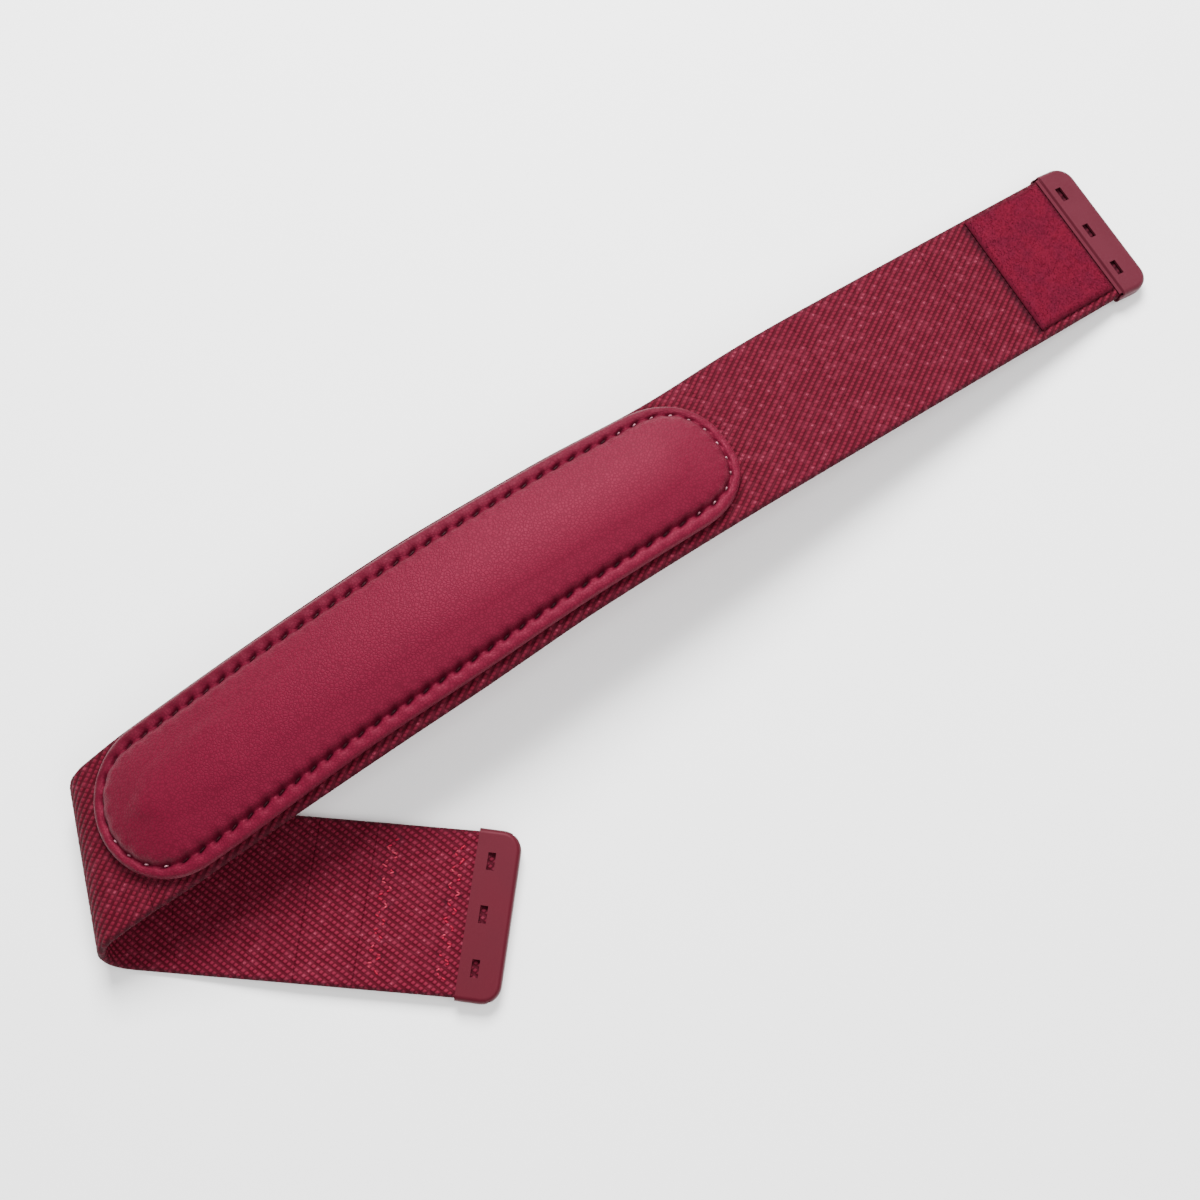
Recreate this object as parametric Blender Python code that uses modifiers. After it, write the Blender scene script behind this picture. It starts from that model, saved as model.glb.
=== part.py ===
"""Padded elastic strap: a 30 mm webbing band with a stitched pad in its middle and, at each end,
a hook patch and a moulded tab. It lies in a low arch, its left end folded slantwise under it.

Every piece is laid out on the band's own coordinates: u runs along the band to the right, v runs
across it and h stands off its middle plane, towards the padded face. strap_point() turns them
into a place in space, so one description of the lie shapes every piece.
"""

import math

import bmesh
import bpy
from mathutils import Matrix, Vector

MM = 0.001

# Band
BAND_WIDTH = 30 * MM
BAND_THICK = 1.5 * MM
GAP = 0.3 * MM  # left between pieces that touch

# How the band lies: two arcs in the XZ plane, then a slanting fold at its left end
LEFT_RISE = math.radians(12.8)  # slope at u = 0, climbing to the right
CREST_END = 136 * MM
CREST_FALL = math.radians(-8.63)  # slope at CREST_END, which sets the right tab on the table
ARCH_END = 235 * MM
RIGHT_FALL = math.radians(-11.0)  # slope at ARCH_END
UNTWIST_END = 70 * MM  # the band has lost its fold's slight twist here
FOLD_U = -4.8 * MM  # where the fold's near line crosses the middle of the band
FOLD_SLANT = math.radians(19.2)  # of the fold line, from straight across
FOLD_RADIUS = 5.3 * MM
SKEW_FADE = 36 * MM  # cuts across the band turn from slanting to square over this length
LIFT_START = -28 * MM  # the tail climbs from the table here, to lie on its patch
LIFT_END = -58 * MM

# Pad
PAD_LEFT = -2.2 * MM
PAD_RIGHT = 128.8 * MM
PAD_HALF = 14.1 * MM
SEAM_INSET = 2.7 * MM
GROOVE_HEIGHT = 1.95 * MM  # the sewn groove's floor, over the band's face
THREAD_RADIUS = 0.25 * MM
SIDE_STEPS = 22
END_STEPS = 12

# Ends: distances along the band
RIGHT_EDGE = 220.5 * MM  # inner edge of the right tab
LEFT_EDGE = -83.4 * MM
RIGHT_PATCH_LONG = 20.0 * MM
LEFT_PATCH_LONG = 18.4 * MM
PATCH_WIDE = 27.4 * MM
PATCH_THICK = 1.25 * MM
SEAM_FROM_END = 3.0 * MM  # zigzag rows, from each end of a patch
ZIGZAG_WIDE = 24.4 * MM
ZIGZAG_REACH = 1.1 * MM
ZIGZAG_STEPS = 16

TAB_LONG = 8.0 * MM
TAB_WIDE = 31.4 * MM
TAB_THICK = 3.2 * MM
TAB_CORNER = 4.0 * MM
TAB_EDGE = 0.4 * MM
POCKET_DEEP = 6.4 * MM
WINDOW_LONG = 3.1 * MM
WINDOW_WIDE = 1.7 * MM
WINDOW_PITCH = 9.6 * MM
WINDOW_FROM_EDGE = 2.9 * MM

# Joints: distances along the band
TURN_RADIUS = 2.2 * MM  # of an end folded back on the band
TURN_LONG = math.pi * TURN_RADIUS
TURN_TO_PATCH = 0.6 * MM
RIGHT_FLEX_U = 143 * MM
RIGHT_STRETCH_U = 172 * MM
LEFT_STRETCH_U = -42 * MM

# The middle of the laid-out strap, brought to the row's origin
CENTRE = Vector((105.54 * MM, -22.25 * MM, 0.0))

TAIL_Z = BAND_THICK / 2  # the tail lies on the table beside the fold
PATCH_LIFT = GAP + PATCH_THICK
FOLD_TWIST = -math.asin(math.tan(FOLD_SLANT) * math.tan(LEFT_RISE))  # keeps the fold line level
FOLD_TILT = math.asin(math.sin(LEFT_RISE) / math.cos(FOLD_SLANT))
FOLD_ANGLE = math.pi - FOLD_TILT  # brings the tail level
FOLD_LONG = FOLD_RADIUS * FOLD_ANGLE
TAIL_U = FOLD_U - FOLD_LONG / math.cos(FOLD_SLANT)  # where the fold ends, in the band's middle
ZERO_Z = TAIL_Z + FOLD_RADIUS * (1 + math.cos(FOLD_TILT)) - FOLD_U * math.sin(LEFT_RISE)

RIGHT_PATCH_U = RIGHT_EDGE - RIGHT_PATCH_LONG
LEFT_PATCH_U = LEFT_EDGE + LEFT_PATCH_LONG

BAND_COLOUR = (0.235, 0.022, 0.044)
LEATHER_COLOUR = (0.323, 0.040, 0.072)
THREAD_COLOUR = (0.10, 0.012, 0.022)
PATCH_COLOUR = (0.258, 0.042, 0.042)
TAB_COLOUR = (0.191, 0.038, 0.051)
FOAM_COLOUR = (0.06, 0.06, 0.065)


# ---- the lie of the band -------------------------------------------------------------------

def smooth(t):
    t = min(max(t, 0.0), 1.0)
    return t * t * (3 - 2 * t)


def walk_arc(start, angle, curvature, length):
    """The point, and the slope there, after going this far along an arc in the XZ plane."""
    end = angle + curvature * length
    dx = (math.sin(end) - math.sin(angle)) / curvature
    dz = (math.cos(angle) - math.cos(end)) / curvature
    return start + Vector((dx, 0, dz)), end


def arch_frame(u):
    """Place, tangent, across and normal of the arched part of the band, at u >= 0."""
    crest = min(u, CREST_END)
    point, angle = walk_arc(
        Vector((0, 0, ZERO_Z)), LEFT_RISE, (CREST_FALL - LEFT_RISE) / CREST_END, crest
    )
    if u > CREST_END:
        curvature = (RIGHT_FALL - CREST_FALL) / (ARCH_END - CREST_END)
        point, angle = walk_arc(point, CREST_FALL, curvature, u - CREST_END)
    return point, *turned_axes(angle, FOLD_TWIST * (1 - smooth(u / UNTWIST_END)))


def turned_axes(slope, twist):
    tangent = Vector((math.cos(slope), 0, math.sin(slope)))
    upright = Vector((-math.sin(slope), 0, math.cos(slope)))
    across = math.cos(twist) * Vector((0, 1, 0)) + math.sin(twist) * upright
    return tangent, across, tangent.cross(across)


def fold_axes():
    """The fold line's direction, the way out past it, and the normal before it."""
    tangent, across, normal = turned_axes(LEFT_RISE, FOLD_TWIST)
    c, s = math.cos(FOLD_SLANT), math.sin(FOLD_SLANT)
    return s * tangent + c * across, s * across - c * tangent, normal


def strap_frame(u, v):
    """Place on the band's middle plane and the padded face's normal there, in the row frame."""
    if u >= 0:
        point, tangent, across, normal = arch_frame(u)
        return point + v * across - CENTRE, normal
    line, out, normal = fold_axes()
    c, s = math.cos(FOLD_SLANT), math.sin(FOLD_SLANT)
    along = (u - FOLD_U) * s + v * c
    past = v * s - (u - FOLD_U) * c
    turned = min(max(past / FOLD_RADIUS, 0.0), FOLD_ANGLE)
    over = max(past - FOLD_LONG, 0.0)
    before = min(past, 0.0)
    sideways = before + FOLD_RADIUS * math.sin(turned) + over * math.cos(turned)
    down = FOLD_RADIUS * (1 - math.cos(turned)) + over * math.sin(turned)
    start = Vector((0, 0, ZERO_Z)) + FOLD_U * turned_axes(LEFT_RISE, FOLD_TWIST)[0]
    point = start + along * line + sideways * out - down * normal
    point.z += PATCH_LIFT * smooth((LIFT_START - u) / (LIFT_START - LIFT_END))
    return point - CENTRE, math.cos(turned) * normal + math.sin(turned) * out


def strap_point(u, v, h):
    point, normal = strap_frame(u, v)
    return point + h * normal


def skew(u, v):
    """How far a cut across the band runs slanting with the fold at v, where its middle is at u."""
    beyond = max(u - FOLD_U, TAIL_U - u, 0.0)
    reach = SKEW_FADE if u > FOLD_U else SKEW_FADE / 2
    return v * math.tan(FOLD_SLANT) * (1 - smooth(beyond / reach))


# ---- objects -------------------------------------------------------------------------------

def clear_scene():
    for old in list(bpy.data.objects):
        bpy.data.objects.remove(old)


def new_collection(name):
    collection = bpy.data.collections.new(name)
    bpy.context.scene.collection.children.link(collection)
    return collection


def new_material(name, colour, roughness):
    material = bpy.data.materials.new(name)
    material.use_nodes = True
    shader = material.node_tree.nodes["Principled BSDF"]
    shader.inputs["Base Color"].default_value = (*colour, 1)
    shader.inputs["Roughness"].default_value = roughness
    shader.inputs["Metallic"].default_value = 0.0
    return material


def add_object(name, data, collection, material):
    obj = bpy.data.objects.new(name, data)
    collection.objects.link(obj)
    if material:
        data.materials.append(material)
    return obj


def mesh_from(name, bm):
    bmesh.ops.recalc_face_normals(bm, faces=bm.faces)
    mesh = bpy.data.meshes.new(name)
    bm.to_mesh(mesh)
    bm.free()
    return mesh


def strip(name, start, end, width, thick, height, step, parts, material):
    """A flat strip of cloth on the band, from start to end, its middle plane at this height."""
    columns = max(1, math.ceil(abs(end - start) / step))
    bm = bmesh.new()
    bmesh.ops.create_grid(bm, x_segments=columns, y_segments=1, size=0.5)
    for vert in bm.verts:
        u = start + (end - start) * (vert.co.x + 0.5)
        v = width * vert.co.y
        vert.co = strap_point(u + skew(u, v), v, height)
    mesh = bpy.data.meshes.new(name)
    bm.to_mesh(mesh)
    bm.free()
    obj = add_object(name, mesh, parts, material)
    shell = obj.modifiers.new("thickness", "SOLIDIFY")
    shell.thickness = thick
    shell.offset = 0
    return obj


def thread(name, points, closed, parts, material):
    curve = bpy.data.curves.new(name, "CURVE")
    curve.dimensions = "3D"
    curve.bevel_depth = THREAD_RADIUS
    curve.bevel_resolution = 1
    curve.use_fill_caps = not closed
    spline = curve.splines.new("POLY")
    spline.points.add(len(points) - 1)
    for knot, point in zip(spline.points, points):
        knot.co = (*point, 1)
    spline.use_cyclic_u = closed
    return add_object(name, curve, parts, material)


# ---- the pad -------------------------------------------------------------------------------

def pad_spine():
    """Pairs of a point on the pad's middle line and the way out from it, once round the pad."""
    left, right = PAD_LEFT + PAD_HALF, PAD_RIGHT - PAD_HALF
    sides = [left + (right - left) * i / SIDE_STEPS for i in range(SIDE_STEPS + 1)]
    turns = [math.pi * i / END_STEPS for i in range(1, END_STEPS)]
    spine = [(u, (0.0, -1.0)) for u in sides]
    spine += [(right, (math.sin(t), -math.cos(t))) for t in turns]
    spine += [(u, (0.0, 1.0)) for u in reversed(sides)]
    spine += [(left, (-math.sin(t), math.cos(t))) for t in turns]
    return spine


def pad_ring(inset, height):
    """The pad's outline drawn in by inset, at this height over the band's face."""
    reach = PAD_HALF - inset
    return [
        strap_point(u + reach * way[0], reach * way[1], BAND_THICK / 2 + height)
        for u, way in pad_spine()
    ]


def pad_body(name, profile, parts, material):
    """A body lofted through rings; its first and last rings close on the pad's middle line."""
    bm = bmesh.new()
    rings = [
        [bm.verts.new(p) for p in pad_ring(inset * MM, height * MM)] for inset, height in profile
    ]
    count = len(rings[0])
    for lower, upper in zip(rings, rings[1:]):
        for i in range(count):
            j = (i + 1) % count
            bm.faces.new((lower[i], lower[j], upper[j], upper[i]))
    bmesh.ops.remove_doubles(bm, verts=bm.verts, dist=1e-6)
    mesh = mesh_from(name, bm)
    mesh.shade_smooth()
    return add_object(name, mesh, parts, material)


def pad_cover(parts, material):
    """Soft leather: a crown, a sewn groove, a rolled rim and a hem turned in under it."""
    half, seam, groove = PAD_HALF / MM, SEAM_INSET / MM, GROOVE_HEIGHT / MM
    outside = [
        (half, 5.8), (10.6, 5.6), (7.4, 4.95), (5.2, 3.9), (3.9, 2.75), (seam + 0.3, groove),
        (seam - 0.4, groove), (1.7, 2.5), (1.0, 2.65), (0.35, 2.3), (0, 1.5), (0.2, 0.7), (0.8, 0.3),
    ]
    inside = [
        (4.2, 0.3), (4.2, 1.0), (1.3, 1.0), (0.8, 1.5), (1.1, 1.85), (1.6, 1.7), (seam - 0.6, 1.25),
        (seam + 0.5, 1.25), (4.3, 2.1), (5.7, 3.25), (7.6, 4.15), (10.6, 4.8), (half, 5.0),
    ]
    return pad_body("pad_cover", outside + inside, parts, material)


def pad_foam(parts, material):
    half = PAD_HALF / MM
    profile = [
        (half, 0.3), (4.6, 0.3), (4.6, 1.9), (6.0, 3.0), (7.8, 3.8), (10.6, 4.45), (half, 4.65),
    ]
    return pad_body("pad_foam", profile, parts, material)


def pad_seam(name, height, parts, material):
    return thread(name, pad_ring(SEAM_INSET, height), True, parts, material)


# ---- the ends ------------------------------------------------------------------------------

def zigzag(name, u, parts, material):
    """A zigzag row across the band's plain face, holding the patch on its other face."""
    height = -(BAND_THICK / 2 + GAP + THREAD_RADIUS)
    points = []
    for i in range(ZIGZAG_STEPS + 1):
        v = ZIGZAG_WIDE * (i / ZIGZAG_STEPS - 0.5)
        side = 1 if i % 2 else -1
        points.append(strap_point(u + side * ZIGZAG_REACH, v, height))
    return thread(name, points, False, parts, material)


def patch_and_seams(side, edge, long, parts, looks):
    outward = 1 if edge > 0 else -1
    start, end = edge - outward * long, edge - outward * GAP
    height = BAND_THICK / 2 + GAP + PATCH_THICK / 2
    patch = strip(
        side + "_patch", start, end, PATCH_WIDE, PATCH_THICK, height, long, parts, looks["patch"]
    )
    inner = zigzag(side + "_zigzag_inner", start + outward * SEAM_FROM_END, parts, looks["thread"])
    outer = zigzag(side + "_zigzag_outer", edge - outward * SEAM_FROM_END, parts, looks["thread"])
    return [patch, inner, outer]


def box_mesh(name, low, high):
    bm = bmesh.new()
    bmesh.ops.create_cube(bm, size=1)
    low, high = Vector(low), Vector(high)
    bmesh.ops.scale(bm, verts=bm.verts, vec=high - low)
    bmesh.ops.translate(bm, verts=bm.verts, vec=(low + high) / 2)
    mesh = bpy.data.meshes.new(name)
    bm.to_mesh(mesh)
    bm.free()
    return mesh


def tab_block():
    """The moulded block: x runs outward from its inner edge, y across and z off the band."""
    low = (0, -TAB_WIDE / 2, -TAB_THICK / 2)
    mesh = box_mesh("tab_block", low, (TAB_LONG, TAB_WIDE / 2, TAB_THICK / 2))
    bm = bmesh.new()
    bm.from_mesh(mesh)
    upright = [
        e for e in bm.edges
        if all(v.co.x > TAB_LONG / 2 for v in e.verts) and abs(e.verts[0].co.y - e.verts[1].co.y) < MM
    ]
    bmesh.ops.bevel(
        bm, geom=upright, offset=TAB_CORNER, segments=5, profile=0.5, affect="EDGES"
    )
    rims = [
        e for e in bm.edges
        if abs(e.verts[0].co.z - e.verts[1].co.z) < 1e-6 and max(v.co.x for v in e.verts) > 1e-6
    ]
    bmesh.ops.bevel(bm, geom=rims, offset=TAB_EDGE, segments=2, profile=0.5, affect="EDGES")
    bm.to_mesh(mesh)
    bm.free()
    return mesh


def cut_from(obj, low, high, cutters):
    name = f"{obj.name}_cut_{len(obj.modifiers)}"
    cutter = add_object(name, box_mesh(name, low, high), cutters, None)
    cutter.parent = obj
    cutter.hide_render = True
    cutter.display_type = "WIRE"
    cut = obj.modifiers.new("cut", "BOOLEAN")
    cut.operation = "DIFFERENCE"
    cut.solver = "EXACT"
    cut.object = cutter


def tab(side, edge, parts, cutters, material):
    """A one-piece moulded tab: a pocket holds the band's end, and windows show it on both faces."""
    outward = 1 if edge > 0 else -1
    obj = add_object(side + "_tab", tab_block(), parts, material)
    place = strap_point(edge, 0, 0)
    along = (strap_point(edge + outward * TAB_LONG, 0, 0) - place).normalized()
    normal = strap_frame(edge, 0)[1]
    axes = Matrix((along, normal.cross(along), along.cross(normal.cross(along)))).transposed()
    obj.matrix_world = Matrix.Translation(place) @ axes.to_4x4()
    half = (BAND_WIDTH / 2 + GAP, BAND_THICK / 2 + GAP)
    cut_from(obj, (-MM, -half[0], -half[1]), (POCKET_DEEP, half[0], half[1]), cutters)
    for i in (-1, 0, 1):
        middle = i * WINDOW_PITCH
        low = (WINDOW_FROM_EDGE - WINDOW_WIDE / 2, middle - WINDOW_LONG / 2, -TAB_THICK)
        high = (WINDOW_FROM_EDGE + WINDOW_WIDE / 2, middle + WINDOW_LONG / 2, TAB_THICK)
        cut_from(obj, low, high, cutters)
    return obj


# ---- joints --------------------------------------------------------------------------------

def body_empty(name, place, pieces, parts):
    """An empty on the body's joint axis, carrying its pieces."""
    empty = bpy.data.objects.new(name, None)
    parts.objects.link(empty)
    empty.location = place
    for piece in pieces:
        world = piece.matrix_world.copy()
        piece.parent = empty
        piece.matrix_parent_inverse = Matrix.Translation(place).inverted()
        piece.matrix_basis = world
    return empty


def fold_hinges():
    """The two coupled hinges of the slanting fold, each beside the middle of its half."""
    line, out, normal = fold_axes()
    half_angle = FOLD_ANGLE / 2
    start = strap_point(FOLD_U, 0, 0)
    level = start - FOLD_RADIUS * normal
    middle = level + FOLD_RADIUS * (math.sin(half_angle) * out + math.cos(half_angle) * normal)
    end = strap_point(TAIL_U, 0, 0) - (strap_point(TAIL_U, 0, 0) - start).dot(line) * line
    tail_way = math.cos(FOLD_ANGLE) * out - math.sin(FOLD_ANGLE) * normal
    middle_way = math.cos(half_angle) * out - math.sin(half_angle) * normal
    return (
        quarter_pivot(start, out, middle, middle_way),
        quarter_pivot(middle, middle_way, end, tail_way),
    )


def quarter_pivot(start, way_in, end, way_out):
    """The pivot that swings a bend's far end straight, keeping the bend's length along the band."""
    angle = way_in.angle(way_out)
    length = FOLD_RADIUS * FOLD_ANGLE / 2
    flat_end = start + length * way_in
    middle = (end + flat_end) / 2
    chord = flat_end - end
    axis = way_out.cross(way_in).normalized()
    return middle + axis.cross(chord) / (2 * math.tan(angle / 2))


def end_fold_place(patch_u):
    """Where along the band an end folds back; its pivot stands off the band by the turn's radius."""
    outward = 1 if patch_u > 0 else -1
    return patch_u - outward * (TURN_TO_PATCH + TURN_LONG / 2)


def main():
    clear_scene()
    parts = new_collection("padded_elastic_strap")
    cutters = new_collection("cutters")
    looks = {
        "band": new_material("webbing", BAND_COLOUR, 0.8),
        "leather": new_material("soft_leather", LEATHER_COLOUR, 0.5),
        "thread": new_material("thread", THREAD_COLOUR, 0.6),
        "patch": new_material("hook_patch", PATCH_COLOUR, 0.9),
        "tab": new_material("tab_plastic", TAB_COLOUR, 0.6),
        "foam": new_material("foam", FOAM_COLOUR, 0.95),
    }

    def band(name, start, end, step=6 * MM):
        """A section between two places, short of each by half a gap."""
        return strip(
            name, start + GAP / 2, end - GAP / 2, BAND_WIDTH, BAND_THICK, 0, step, parts, looks["band"]
        )

    def end_pieces(side, edge, patch_long):
        sewn = patch_and_seams(side, edge, patch_long, parts, looks)
        return [*sewn, tab(side, edge, parts, cutters, looks["tab"])]

    # The padded middle
    band("band_main", FOLD_U, RIGHT_FLEX_U)
    pad_cover(parts, looks["leather"])
    pad_foam(parts, looks["foam"])
    pad_seam("pad_needle_thread", GROOVE_HEIGHT + GAP + THREAD_RADIUS, parts, looks["thread"])
    pad_seam("pad_bobbin_thread", -(BAND_THICK + GAP + THREAD_RADIUS), parts, looks["thread"])

    # The fold and the tail under it
    fold_near, fold_far = fold_hinges()
    left_fold = end_fold_place(LEFT_PATCH_U)
    fold = band("band_fold", TAIL_U, FOLD_U, 1.2 * MM)
    body_empty("fold_middle", fold_near, [fold], parts)
    inner = band("band_left_inner", LEFT_STRETCH_U, TAIL_U, 4 * MM)
    body_empty("left_inner", fold_far, [inner], parts)
    outer = band("band_left_outer", left_fold, LEFT_STRETCH_U)
    body_empty("left_outer", strap_point(LEFT_STRETCH_U, 0, 0), [outer], parts)
    end = band("band_left_end", LEFT_EDGE - POCKET_DEEP, left_fold)
    pieces = [end, *end_pieces("left", LEFT_EDGE, LEFT_PATCH_LONG)]
    body_empty("left_end", strap_point(left_fold, 0, TURN_RADIUS), pieces, parts)

    # The right side
    right_fold = end_fold_place(RIGHT_PATCH_U)
    inner = band("band_right_inner", RIGHT_FLEX_U, RIGHT_STRETCH_U)
    body_empty("right_inner", strap_point(RIGHT_FLEX_U, 0, BAND_THICK / 2), [inner], parts)
    outer = band("band_right_outer", RIGHT_STRETCH_U, right_fold)
    body_empty("right_outer", strap_point(RIGHT_STRETCH_U, 0, 0), [outer], parts)
    end = band("band_right_end", right_fold, RIGHT_EDGE + POCKET_DEEP)
    pieces = [end, *end_pieces("right", RIGHT_EDGE, RIGHT_PATCH_LONG)]
    body_empty("right_end", strap_point(right_fold, 0, TURN_RADIUS), pieces, parts)


main()
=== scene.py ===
import math

import bpy
import numpy as np
from mathutils import Matrix, Vector


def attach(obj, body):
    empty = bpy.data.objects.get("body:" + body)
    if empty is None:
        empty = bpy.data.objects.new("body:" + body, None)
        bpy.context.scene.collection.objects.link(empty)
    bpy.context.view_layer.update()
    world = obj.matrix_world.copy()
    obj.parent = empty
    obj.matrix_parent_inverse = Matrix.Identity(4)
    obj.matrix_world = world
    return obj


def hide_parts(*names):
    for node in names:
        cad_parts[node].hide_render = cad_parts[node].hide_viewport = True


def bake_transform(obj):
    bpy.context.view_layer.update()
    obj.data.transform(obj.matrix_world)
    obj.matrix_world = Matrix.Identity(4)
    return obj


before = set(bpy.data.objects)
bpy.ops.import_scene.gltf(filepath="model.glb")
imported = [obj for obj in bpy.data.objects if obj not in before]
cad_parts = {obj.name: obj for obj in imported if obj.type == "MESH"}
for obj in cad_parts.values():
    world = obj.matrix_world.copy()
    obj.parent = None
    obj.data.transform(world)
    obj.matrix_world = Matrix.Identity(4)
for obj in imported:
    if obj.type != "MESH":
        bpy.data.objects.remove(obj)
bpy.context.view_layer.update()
print("stage: frame loaded")

mm = 0.001

# The lie of the band, as in the solids: u runs along it, v across it and h off its middle plane,
# towards the padded face.
lie = {
    "leftRise": math.radians(12.8),
    "crestEnd": 136 * mm,
    "crestFall": math.radians(-8.63),
    "archEnd": 235 * mm,
    "rightFall": math.radians(-11.0),
    "untwistEnd": 70 * mm,
    "foldU": -4.8 * mm,
    "foldSlant": math.radians(19.2),
    "foldRadius": 5.3 * mm,
    "skewFade": 36 * mm,
    "liftFrom": (-28 * mm, 30 * mm),
    "patchLift": 1.55 * mm,
    "tailHeight": 0.75 * mm,
    "middle": np.array((105.54, -22.25, 0.0)) * mm,
    "rightSkew": 0.068,
    "rightSkewFrom": (150 * mm, 45 * mm),
    "leftSkew": -0.046,
    "leftSkewFrom": (-30 * mm, 30 * mm),
    "gather": 0.085,
    "gatherPlace": 121 * mm,
    "gatherReach": 18 * mm,
    "spread": 0.042,
    "spreadFrom": (-6 * mm, 16 * mm),
    "spreadTo": (95 * mm, 30 * mm),
}
foldTwist = -math.asin(math.tan(lie["foldSlant"]) * math.tan(lie["leftRise"]))
foldTilt = math.asin(math.sin(lie["leftRise"]) / math.cos(lie["foldSlant"]))
foldAngle = math.pi - foldTilt
foldLong = lie["foldRadius"] * foldAngle
tailU = lie["foldU"] - foldLong / math.cos(lie["foldSlant"])
foldMiddleU = (lie["foldU"] + tailU) / 2
startHeight = (
    lie["tailHeight"]
    + lie["foldRadius"] * (1 + math.cos(foldTilt))
    - lie["foldU"] * math.sin(lie["leftRise"])
)


def smooth(t):
    t = np.clip(t, 0, 1)
    return t * t * (3 - 2 * t)


def fadeIn(x, start, over):
    return smooth((x - start) / over)


def fadeOut(x, start, over):
    return smooth((start - x) / over)


def walkArc(slope, curvature, length):
    end = slope + curvature * length
    rise = (math.cos(slope) - np.cos(end)) / curvature
    return np.stack([(np.sin(end) - math.sin(slope)) / curvature, 0 * end, rise], -1), end


def turnedAxes(slope, twist):
    slope, twist = np.broadcast_arrays(slope, twist)
    level = np.zeros_like(slope)
    tangent = np.stack([np.cos(slope), level, np.sin(slope)], -1)
    upright = np.stack([-np.sin(slope), level, np.cos(slope)], -1)
    across = np.cos(twist)[..., None] * np.array((0, 1, 0)) + np.sin(twist)[..., None] * upright
    return tangent, across, np.cross(tangent, across)


def layOnArch(u, v):
    bend = (lie["crestFall"] - lie["leftRise"]) / lie["crestEnd"]
    place, slope = walkArc(lie["leftRise"], bend, np.clip(u, 0, lie["crestEnd"]))
    past = np.maximum(u - lie["crestEnd"], 0)
    bend = (lie["rightFall"] - lie["crestFall"]) / (lie["archEnd"] - lie["crestEnd"])
    further, pastSlope = walkArc(lie["crestFall"], bend, past)
    slope = np.where(past > 0, pastSlope, slope)
    twist = foldTwist * (1 - smooth(u / lie["untwistEnd"]))
    tangent, across, normal = turnedAxes(slope, twist)
    place = place + further + v[:, None] * across
    place[:, 2] += startHeight
    return place, normal


foldTangent, foldAcross, foldNormal = turnedAxes(lie["leftRise"], foldTwist)
foldLine = math.sin(lie["foldSlant"]) * foldTangent + math.cos(lie["foldSlant"]) * foldAcross
foldOut = math.sin(lie["foldSlant"]) * foldAcross - math.cos(lie["foldSlant"]) * foldTangent


def layInFold(u, v):
    c, s = math.cos(lie["foldSlant"]), math.sin(lie["foldSlant"])
    radius = lie["foldRadius"]
    along = (u - lie["foldU"]) * s + v * c
    past = v * s - (u - lie["foldU"]) * c
    turned = np.clip(past / radius, 0, foldAngle)
    over = np.maximum(past - foldLong, 0)
    sideways = np.minimum(past, 0) + radius * np.sin(turned) + over * np.cos(turned)
    down = radius * (1 - np.cos(turned)) + over * np.sin(turned)
    start = np.array((0, 0, startHeight)) + lie["foldU"] * foldTangent
    place = start + along[:, None] * foldLine + sideways[:, None] * foldOut
    place -= down[:, None] * foldNormal
    place[:, 2] += lie["patchLift"] * fadeOut(u, *lie["liftFrom"])
    normal = np.cos(turned)[:, None] * foldNormal + np.sin(turned)[:, None] * foldOut
    return place, normal


def settle(u, v):
    # the ends sit a little askew, the far edge is drawn in past the pad, the near part spreads
    askew = lie["rightSkew"] * fadeIn(u, *lie["rightSkewFrom"])
    askew = askew + lie["leftSkew"] * fadeOut(u, *lie["leftSkewFrom"])
    drawn = lie["gather"] * np.exp(-(((u - lie["gatherPlace"]) / lie["gatherReach"]) ** 2)) * (v > 0)
    wider = lie["spread"] * fadeIn(u, *lie["spreadFrom"]) * fadeOut(u, *lie["spreadTo"])
    return u + v * askew, v * (1 - drawn + wider)


def layOnBand(spots):
    # band coordinates (u, v, h) to places in the row frame
    u, v, h = np.asarray(spots, float).T
    u, v = settle(u, v)
    flat, flatNormal = layOnArch(u, v)
    folded, foldedNormal = layInFold(u, v)
    onArch = (u >= 0)[:, None]
    normal = np.where(onArch, flatNormal, foldedNormal)
    return np.where(onArch, flat, folded) - lie["middle"] + h[:, None] * normal


def bandPoint(u, v=0.0, h=0.0):
    return Vector(layOnBand([(u, v, h)])[0])


def skew(u, v):
    # cuts across the band run slanting with the fold, near it
    beyond = np.maximum(np.maximum(u - lie["foldU"], tailU - u), 0)
    reach = np.where(u > lie["foldU"], lie["skewFade"], lie["skewFade"] / 2)
    return v * math.tan(lie["foldSlant"]) * (1 - smooth(beyond / reach))


# Small helpers for modelling
def deselectAll():
    if bpy.context.object and bpy.context.object.mode != "OBJECT":
        bpy.ops.object.mode_set(mode="OBJECT")
    bpy.ops.object.select_all(action="DESELECT")


def makeActive(piece):
    deselectAll()
    piece.select_set(True)
    bpy.context.view_layer.objects.active = piece


def applyPlace():
    bpy.ops.object.transform_apply(location=True, rotation=True, scale=True)


def faceOutward():
    bpy.ops.object.mode_set(mode="EDIT")
    bpy.ops.mesh.select_all(action="SELECT")
    bpy.ops.mesh.normals_make_consistent(inside=False)
    bpy.ops.object.mode_set(mode="OBJECT")


def chosen(name):
    # the primitive that was just added, given its name
    piece = bpy.context.object
    piece.name = name
    piece.data.name = name
    return piece


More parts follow.
